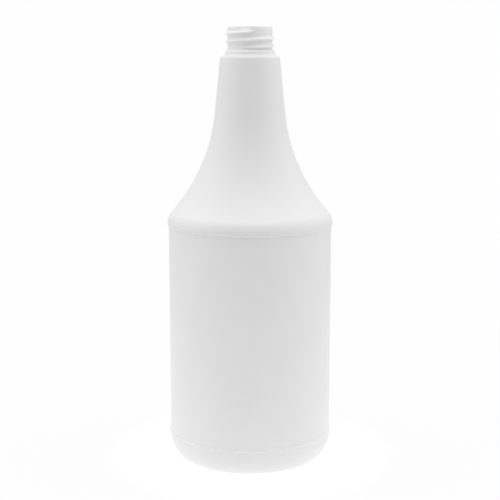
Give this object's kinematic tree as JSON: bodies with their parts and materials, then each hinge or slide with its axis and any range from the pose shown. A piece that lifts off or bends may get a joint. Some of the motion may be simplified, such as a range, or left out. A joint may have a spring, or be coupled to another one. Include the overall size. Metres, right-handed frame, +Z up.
{
  "type": "long neck bottle",
  "caption": "Round blow-moulded bottle with a flared shoulder, a long tapering neck and an open threaded finish for a 28 mm closure.",
  "frame": {"origin": "on the bottle's axis, at the plane the foot ring stands on", "axes": "+Z up the neck; +X lies in the plane where the two mould halves met, along the pinch-off line under the base; -Y is the side in the picture, where the thread's top end shows"},
  "size_m": [0.0932, 0.0932, 0.244],
  "materials": {
    "white_polyethylene": "white high-density polyethylene, blow-moulded, satin"
  },
  "bodies": {
    "root": {"bottle": "white_polyethylene"}
  },
  "joints": []
}
